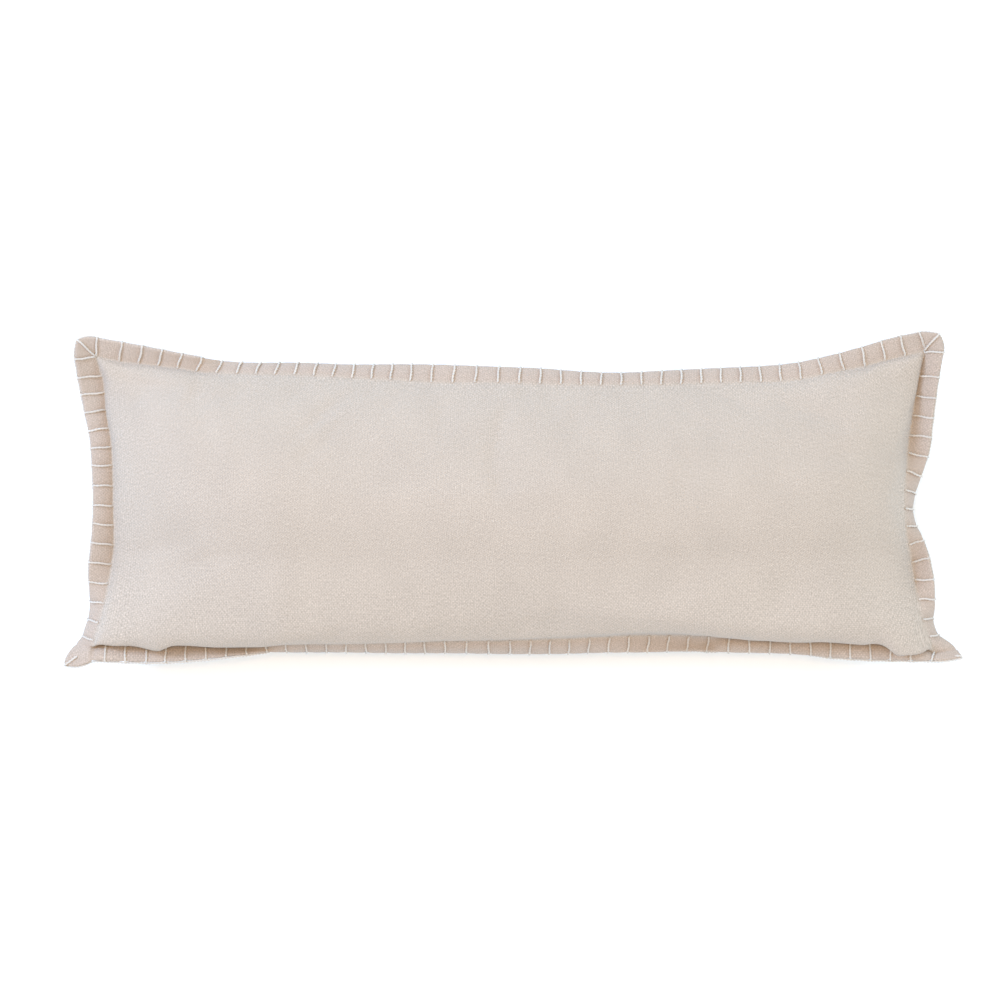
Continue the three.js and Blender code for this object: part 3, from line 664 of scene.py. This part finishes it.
def cotton_material(colour, flange_shade_colour):
    """Slub cotton canvas, plain-woven from soft uneven yarn and washed: matt and grainy, with
    short paler dashes where a yarn swells and a faint halo of fibre at grazing angles."""
    material, tree = new_material("slub_cotton_weave")
    flat = add_node(tree, "ShaderNodeUVMap", uv_map="cloth").outputs["UV"]
    wander = add_node(tree, "ShaderNodeTexNoise", [("Vector", flat)], Scale=90.0, Detail=1.0)
    drift = vector_math(tree, "SCALE", wander.outputs["Color"])
    drift.inputs["Scale"].default_value = 0.0013  # threads wander by half a millimetre
    crooked = vector_math(tree, "ADD", flat, drift.outputs[0])
    # one cell is one thread: 1.8 mm warp and 1.3 mm weft, drawn coarser than the real ones, which
    # are finer than the picture can show
    cells = add_node(tree, "ShaderNodeMapping", [("Vector", crooked.outputs[0])],
                     Scale=(1 / 0.0018, 1 / 0.0013, 1.0)).outputs[0]
    warp, weft = (
        add_node(tree, "ShaderNodeTexWave", [("Vector", cells)],
                 bands_direction=way, Scale=math.pi / 10)
        for way in ("X", "Y"))
    over = add_node(tree, "ShaderNodeTexChecker", [("Vector", cells)], Scale=1.0,
                    Color1=(1, 1, 1, 1), Color2=(0, 0, 0, 1))
    weave = add_node(tree, "ShaderNodeMix", [
        ("Factor", over.outputs["Fac"]), (2, warp.outputs["Fac"]), (3, weft.outputs["Fac"])])
    grain = stretched_noise(tree, flat, (640.0, 460.0), 1.5)
    fuzz = stretched_noise(tree, flat, (1100.0, 800.0), 1.0)
    warp_slub = stretched_noise(tree, flat, (620.0, 110.0), 2.0)
    weft_slub = stretched_noise(tree, flat, (60.0, 500.0), 2.0)
    cloud = stretched_noise(tree, flat, (22.0, 16.0), 2.0)
    tone = scaled_product(tree, [
        (grain, 0.3, 0.7, 0.88, 1.12),
        (fuzz, 0.3, 0.7, 0.9, 1.1),
        (warp_slub, 0.62, 0.8, 1.0, 1.16),
        (weft_slub, 0.62, 0.8, 1.0, 1.09),
        (cloud, 0.3, 0.7, 0.975, 1.025),
        (weave.outputs[0], 0.0, 1.0, 0.88, 1.09),
        (over.outputs["Fac"], 0.0, 1.0, 0.95, 1.05),
    ])
    base = np.array(hex_linear(colour)[:3])
    # painted shade: past the seam the flange is coloured a little browner, standing in for the warm
    # shade it gets beside the stuffed body
    from_middle = vector_math(tree, "ABSOLUTE", flat)
    past_seam = vector_math(tree, "SUBTRACT", from_middle.outputs[0])
    past_seam.inputs[1].default_value = (CLOTH_LONG / 2 * MM, CLOTH_SHORT / 2 * MM, 0.0)
    each_way = add_node(tree, "ShaderNodeSeparateXYZ", [(0, past_seam.outputs[0])])
    furthest = add_node(
        tree, "ShaderNodeMath", [(0, each_way.outputs[0]), (1, each_way.outputs[1])],
        operation="MAXIMUM")
    painted_flange_shade = add_node(tree, "ShaderNodeMapRange", [("Value", furthest.outputs[0])])
    painted_flange_shade.inputs["From Max"].default_value = 0.004  # the change takes 4 mm
    tint = vector_math(tree, "MULTIPLY_ADD", painted_flange_shade.outputs[0])
    tint.inputs[1].default_value = np.array(hex_linear(flange_shade_colour)[:3]) - base
    tint.inputs[2].default_value = base
    shade = vector_math(tree, "SCALE", tint.outputs[0])
    tree.links.new(tone, shade.inputs["Scale"])
    grain_bump = add_node(
        tree, "ShaderNodeBump", [("Height", grain)], Strength=0.35, Distance=0.0005)
    weave_bump = add_node(
        tree, "ShaderNodeBump", [("Height", weave.outputs[0]), ("Normal", grain_bump.outputs[0])],
        Strength=0.4, Distance=0.0003)
    shader = add_node(
        tree, "ShaderNodeBsdfPrincipled",
        [("Base Color", shade.outputs[0]), ("Normal", weave_bump.outputs[0])],
        Roughness=0.92, IOR=1.46)
    shader.inputs["Specular IOR Level"].default_value = 0.25
    shader.inputs["Sheen Weight"].default_value = 0.06
    shader.inputs["Sheen Roughness"].default_value = 0.6
    add_node(tree, "ShaderNodeOutputMaterial", [("Surface", shader.outputs[0])])
    return material


def vector_math(tree, operation, *sockets):
    """One step of arithmetic on vectors."""
    return add_node(tree, "ShaderNodeVectorMath", list(enumerate(sockets)), operation=operation)


def stretched_noise(tree, vector, scale, detail):
    """Noise with its own scale across and along the cloth, in features per metre."""
    mapped = add_node(tree, "ShaderNodeMapping", [("Vector", vector)], Scale=(*scale, 1.0))
    made = add_node(tree, "ShaderNodeTexNoise", [("Vector", mapped.outputs[0])],
                    Scale=1.0, Detail=detail)
    return made.outputs["Fac"]


def scaled_product(tree, parts):
    """Product of sockets, each mapped from its own range to a range round one."""
    total = None
    for socket, low, high, least, most in parts:
        ranged = add_node(tree, "ShaderNodeMapRange", [("Value", socket)])
        ranged.inputs["From Min"].default_value = low
        ranged.inputs["From Max"].default_value = high
        ranged.inputs["To Min"].default_value = least
        ranged.inputs["To Max"].default_value = most
        if total is None:
            total = ranged.outputs[0]
        else:
            total = add_node(tree, "ShaderNodeMath", [(0, total), (1, ranged.outputs[0])],
                             operation="MULTIPLY").outputs[0]
    return total


def yarn_material(colour):
    """Soft-spun cotton yarn, two strands twisted and left unbleached: matt and fuzzy, a little
    paler than the cloth, with fine streaks of fibre."""
    material, tree = new_material("twisted_cotton_yarn")
    where = add_node(tree, "ShaderNodeTexCoord").outputs["Object"]
    # fibres about 0.3 mm apart
    fibre = add_node(
        tree, "ShaderNodeTexNoise", [("Vector", where)], Scale=2600.0, Detail=3.0, Roughness=0.65)
    patch = add_node(tree, "ShaderNodeTexNoise", [("Vector", where)], Scale=70.0, Detail=2.0)
    mix = add_node(
        tree, "ShaderNodeMix", [(2, fibre.outputs["Fac"]), (3, patch.outputs["Fac"])], Factor=0.4)
    tint = add_node(tree, "ShaderNodeValToRGB", [("Fac", mix.outputs[0])])
    darker, paler = tint.color_ramp.elements
    darker.position = 0.35
    paler.position = 0.65
    base = hex_linear(colour)[:3]
    darker.color = [c * 0.88 for c in base] + [1.0]
    paler.color = [min(c * 1.08, 1) for c in base] + [1.0]
    bump = add_node(
        tree, "ShaderNodeBump", [("Height", fibre.outputs["Fac"])], Strength=0.5, Distance=0.0002)
    shader = add_node(
        tree, "ShaderNodeBsdfPrincipled",
        [("Base Color", tint.outputs["Color"]), ("Normal", bump.outputs[0])],
        Roughness=0.9, IOR=1.46)
    shader.inputs["Specular IOR Level"].default_value = 0.25
    shader.inputs["Sheen Weight"].default_value = 0.15
    add_node(tree, "ShaderNodeOutputMaterial", [("Surface", shader.outputs[0])])
    return material


class PILLOW_OT_cover(Operator):
    """Makes the stuffed cotton cover with its flange"""

    bl_idname = "pillow.cover"
    bl_label = "Stuffed cover"

    def execute(self, context):
        cover = context.scene.pillow_cover
        mesh, pinned = cover_mesh(Form(cover), cover)
        obj = new_object("pillow_cover", mesh)
        settle_cloth(obj, pinned, cover)
        smooth = obj.modifiers.new("smooth", "SUBSURF")
        smooth.levels = smooth.render_levels = 1
        bake_modifiers(obj)
        stitched_relief(obj)
        obj.data.materials.append(cotton_material(cover.colour, cover.flange_shade_colour))
        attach(obj, "root")
        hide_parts("pillow")
        return {"FINISHED"}


# A strand's radius and its distance from the yarn's middle, as shares of the yarn's width.
STRAND_RADIUS = 0.27
STRAND_OFFSET = 0.235


def strand_curves(name, paths, yarn, closed=False):
    """Two twisted strands along each path of (point, normal) pairs in metres, as one mesh."""
    curve_data = bpy.data.curves.new(name, "CURVE")
    curve_data.dimensions = "3D"
    curve_data.bevel_depth = yarn.width * STRAND_RADIUS
    curve_data.bevel_resolution = 1
    curve_data.use_fill_caps = not closed
    for number, path in enumerate(paths):
        points = np.array([p for p, _ in path])
        normals = np.array([n for _, n in path])
        if closed:
            ahead = np.roll(points, -1, axis=0)
            behind = np.roll(points, 1, axis=0)
        else:
            ahead = np.vstack([points[1:], points[-1:] * 2 - points[-2:-1]])
            behind = np.vstack([points[:1] * 2 - points[1:2], points[:-1]])
        tangent = ahead - behind
        tangent /= np.linalg.norm(tangent, axis=1, keepdims=True)
        side = np.cross(tangent, normals)
        side /= np.linalg.norm(side, axis=1, keepdims=True)
        up = np.cross(side, tangent)
        steps = np.linalg.norm(np.diff(points, axis=0), axis=1)
        run = np.concatenate([[0], np.cumsum(steps)])
        total = run[-1] + (np.linalg.norm(points[0] - points[-1]) if closed else 0)
        turns = round(total / yarn.twist) if closed else total / yarn.twist
        for strand in (0, 1):
            # each stitch starts its twist at another angle
            angle = 2 * math.pi * turns * run / total + math.pi * strand + number * 1.7
            offset = yarn.width * STRAND_OFFSET
            at = points + offset * (np.cos(angle)[:, None] * up + np.sin(angle)[:, None] * side)
            spline = curve_data.splines.new("POLY")
            spline.points.add(len(at) - 1)
            spline.use_cyclic_u = closed
            for point, co in zip(spline.points, at):
                point.co = (*co, 1)
    obj = new_object(name, curve_data)
    mesh = evaluated_mesh(obj)
    mesh.name = name
    bpy.data.objects.remove(obj)
    bpy.data.curves.remove(curve_data)
    for polygon in mesh.polygons:
        polygon.use_smooth = True
    return new_object(name, mesh)


def resample(points, step, closed=False):
    """Evenly spaced rows along a line of rows, whose first three numbers are a place."""
    rows = np.array(points, float)
    if closed:
        rows = np.vstack([rows, rows[:1]])
    run = np.concatenate([[0], np.cumsum(np.linalg.norm(np.diff(rows[:, :3], axis=0), axis=1))])
    count = max(int(round(run[-1] / step)), 2)
    at = np.linspace(0, run[-1], count + 1)
    if closed:
        at = at[:-1]
    return np.stack([np.interp(at, run, rows[:, c]) for c in range(rows.shape[1])], axis=1)


def rim_stations(per):
    """The rim in order, anticlockwise from the lower left tip: (a, b, out_a, out_b)."""
    loop = []
    corner = [k / per for k in range(per)]
    long_run = [k / per for k in range(LONG_PITCHES * per)]
    short_run = [k / per for k in range(SHORT_PITCHES * per)]
    loop += [(0, 0, 1 - c, 1) for c in corner]
    loop += [(a, 0, 0, 1) for a in long_run]
    loop += [(LONG_PITCHES, 0, c, 1) for c in corner]
    loop += [(LONG_PITCHES, 0, 1, 1 - c) for c in corner]
    loop += [(LONG_PITCHES, b, 1, 0) for b in short_run]
    loop += [(LONG_PITCHES, SHORT_PITCHES, 1, c) for c in corner]
    loop += [(LONG_PITCHES, SHORT_PITCHES, 1 - c, 1) for c in corner]
    loop += [(LONG_PITCHES - a, SHORT_PITCHES, 0, 1) for a in long_run]
    loop += [(0, SHORT_PITCHES, c, 1) for c in corner]
    loop += [(0, SHORT_PITCHES, 1, 1 - c) for c in corner]
    loop += [(0, SHORT_PITCHES - b, 1, 0) for b in short_run]
    loop += [(0, 0, 1, c) for c in corner]
    return loop


def outward(form, station, step=0.05):
    """Normal and outward direction at a rim point, square to the rim."""
    a, b, out_a, out_b = station
    here, normal = form.frame_at(a, b, out_a, out_b)
    inner = form.flange(a, b, max(out_a - step, 0), max(out_b - step, 0))
    out = here - inner
    out -= normal * out.dot(normal)
    return here, normal, out / np.linalg.norm(out)


def stitch_places():
    """Every stitch: (a, b, direction of out_a, direction of out_b)."""
    places = [(a, SHORT_PITCHES, 0, 1) for a in range(LONG_PITCHES + 1)]
    places += [(a, 0, 0, 1) for a in [0.5, *range(1, LONG_PITCHES + 1)]]
    places += [(a, b, 1, 0) for a in (0, LONG_PITCHES) for b in range(1, SHORT_PITCHES + 1)]
    places += [(a, b, 1, 1) for a in (0, LONG_PITCHES) for b in (0, SHORT_PITCHES)]
    return places


FACE_STEPS = 8  # pieces of a stitch's line on each face


def stitch_path(form, yarn, place, number):
    """One stitch: up the front of the flange, round the rim and down its back."""
    a, b, way_a, way_b = place
    lift = form.half_thick + yarn.width / MM * 0.36
    diagonal = way_a and way_b
    start = CORNER_START[int(a > 0), int(b > 0)] if diagonal else 0.03
    along = np.array([1.0, 0, 0]) if way_b else np.array([0, 1.0, 0])
    faces = []
    for face in (1, -1):
        part = []
        for k in range(FACE_STEPS + 1):
            r = start + (1 - start) * k / FACE_STEPS
            here, normal = form.frame_at(a, b, r * way_a, r * way_b)
            away = lift + (0.5 if diagonal else 0)
            away -= 1.0 * max(r - 0.6, 0) / 0.4  # pulled tight over the rim
            if k == 0:
                away -= 1.0  # the yarn dips into the cloth where the needle went
            sway = 0.35 * math.sin(r * 7 + number * 1.9)
            part.append([*(here + normal * away * face + along * sway), *(normal * face)])
        faces.append(part)
    front, back = faces
    here, normal, out = outward(form, (a, b, way_a, way_b))
    reach = 0.3 if diagonal else 0.0
    bend = []
    for degrees in (60, 20, -20, -60):
        angle = math.radians(degrees)
        level, up = math.cos(angle), math.sin(angle)
        bend.append([*(here + out * reach * level + normal * (lift - 1.0) * up),
                     *(out * level + normal * up)])
    return front + bend + back[::-1]


def as_path(rows):
    """Rows in the tables' mm as (point, normal) pairs in the frame's metres."""
    return [((row[:3] + SHIFT) * MM, row[3:] / np.linalg.norm(row[3:])) for row in rows]


def rim_line(form, yarn):
    """The yarn's run round the rim: beyond the cloth where it shows, or tucked under its edge."""
    shown = {side: curve(rows) for side, rows in SHOWN.items()}
    rows = []
    for station in rim_stations(6):
        here, normal, out = outward(form, station)
        a, b, out_a, out_b = station
        on_long = out_b == 1 and out_a == 0
        dip = 0.5 - 0.5 * math.cos(2 * math.pi * (a if on_long else b))
        if out_b == 1:
            seen = shown["bottom" if b == 0 else "top"](here[0])
        else:
            seen = shown["left" if a == 0 else "right"](here[1])
        seen = float(seen)
        # each stitch pulls the run out; between two it lies 0.4 mm further in
        reach = yarn.run_out / MM * seen - 1.2 * (1 - seen) - 0.4 * dip
        rows.append([*(here + out * reach - normal * (2.4 - 1.5 * seen)), *out])
    return as_path(resample(rows, 1.1, closed=True))


class PILLOW_OT_edge_yarn(Operator):
    """Sews the blanket stitch: a run along the rim and a stitch round it at every spacing"""

    bl_idname = "pillow.edge_yarn"
    bl_label = "Edge yarn"

    def execute(self, context):
        scene = context.scene
        form, yarn = Form(scene.pillow_cover), scene.pillow_yarn
        material = yarn_material(yarn.colour)
        run = strand_curves("rim_yarn", [rim_line(form, yarn)], yarn, closed=True)
        paths = [as_path(resample(stitch_path(form, yarn, place, number), 1.3))
                 for number, place in enumerate(stitch_places())]
        stitches = strand_curves("stitch_yarn", paths, yarn)
        for obj in (run, stitches):
            obj.data.materials.append(material)
            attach(obj, "root")
            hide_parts("edge_yarn")
        return {"FINISHED"}


def floor_material(colour):
    """Matt painted board: even, with the faintest tooth."""
    material, tree = new_material("matt_white_board")
    shader = add_node(tree, "ShaderNodeBsdfPrincipled", Roughness=0.95)
    shader.inputs["Base Color"].default_value = hex_linear(colour)
    shader.inputs["Specular IOR Level"].default_value = 0.1
    add_node(tree, "ShaderNodeOutputMaterial", [("Surface", shader.outputs[0])])
    return material


def soft_light(name, place, power, colour):
    """A soft light a metre square at a place, facing the pillow."""
    light = bpy.data.lights.new(name, "AREA")
    light.size = 1.0
    light.energy = power
    light.color = colour
    lamp = new_object(name, light)
    lamp.location = place
    lamp.rotation_euler = (Vector((0, 0, 0.05)) - lamp.location).to_track_quat("-Z", "Y").to_euler()


# The studio's lights: name, setting that holds the power, place in metres, linear colour.
LIGHTS = (
    ("window_light", "window", (-2.25, 1.05, 1.7), (0.45, 0.65, 1.0)),
    ("lamp_light", "lamp", (0.0, 0.0, 3.6), (1.0, 0.62, 0.15)),
    ("far_window_light", "far_window", (2.58, 0.7, 1.4), (0.52, 0.77, 1.0)),
    ("near_window_light", "near_window", (0.6, -2.6, 1.2), (0.55, 0.74, 1.0)),
)
ROOM_COLOUR = (0.655, 0.795, 1.0, 1.0)
SENSOR = 36.0  # width of the camera's sensor, in mm
VIEW_WIDTH = 1.01  # width of what the picture takes in at the height of the rim, in metres
VIEW_MIDDLE = (-0.01475, -0.00063)  # the place under the picture's middle, in metres


class PILLOW_OT_studio(Operator):
    """Sets up the floor, the soft light and the camera looking straight at the pillow's face"""

    bl_idname = "pillow.studio"
    bl_label = "Studio"

    def execute(self, context):
        scene = context.scene
        studio = scene.pillow_studio
        bm = bmesh.new()
        bmesh.ops.create_grid(bm, x_segments=1, y_segments=1, size=6.0)
        mesh = bpy.data.meshes.new("studio_floor")
        bm.to_mesh(mesh)
        bm.free()
        floor = new_object("studio_floor", mesh)
        floor.data.materials.append(floor_material(studio.floor_colour))
        world = bpy.data.worlds.new("studio_light")
        world.use_nodes = True
        room = world.node_tree.nodes["Background"].inputs
        room["Color"].default_value = ROOM_COLOUR
        room["Strength"].default_value = studio.room
        scene.world = world
        for name, setting, place, colour in LIGHTS:
            soft_light(name, place, getattr(studio, setting), colour)
        lens = bpy.data.cameras.new("camera")
        lens.sensor_width = SENSOR
        lens.lens = SENSOR * studio.distance / VIEW_WIDTH
        camera = new_object("camera", lens)
        camera.location = (*VIEW_MIDDLE, scene.pillow_cover.seam_height + studio.distance)
        camera.rotation_euler = (0, 0, 0)
        scene.camera = camera
        scene.view_settings.view_transform = "Standard"
        return {"FINISHED"}


class PILLOW_PT_sidebar(Panel):
    """Lists every setting with the button that makes its piece"""

    bl_label = "Lumbar pillow"
    bl_idname = "PILLOW_PT_sidebar"
    bl_space_type = "VIEW_3D"
    bl_region_type = "UI"
    bl_category = "Pillow"

    def draw(self, context):
        layout = self.layout
        for group, operator in GROUPS:
            box = layout.box()
            settings = getattr(context.scene, group)
            for name in settings.bl_rna.properties.keys():
                if name not in ("rna_type", "name"):
                    box.prop(settings, name)
            box.operator(operator)


GROUPS = (
    ("pillow_cover", "pillow.cover"),
    ("pillow_yarn", "pillow.edge_yarn"),
    ("pillow_studio", "pillow.studio"),
)
CLASSES = (PillowCover, EdgeYarn, Studio, PILLOW_OT_cover, PILLOW_OT_edge_yarn, PILLOW_OT_studio,
           PILLOW_PT_sidebar)


def register():
    for cls in CLASSES:
        bpy.utils.register_class(cls)
    bpy.types.Scene.pillow_cover = PointerProperty(type=PillowCover)
    bpy.types.Scene.pillow_yarn = PointerProperty(type=EdgeYarn)
    bpy.types.Scene.pillow_studio = PointerProperty(type=Studio)


def unregister():
    for name, _ in GROUPS:
        delattr(bpy.types.Scene, name)
    for cls in reversed(CLASSES):
        bpy.utils.unregister_class(cls)


def main():
    register()
    bpy.ops.pillow.cover()
    bpy.ops.pillow.edge_yarn()
    bpy.ops.pillow.studio()


if __name__ == "__main__":
    main()
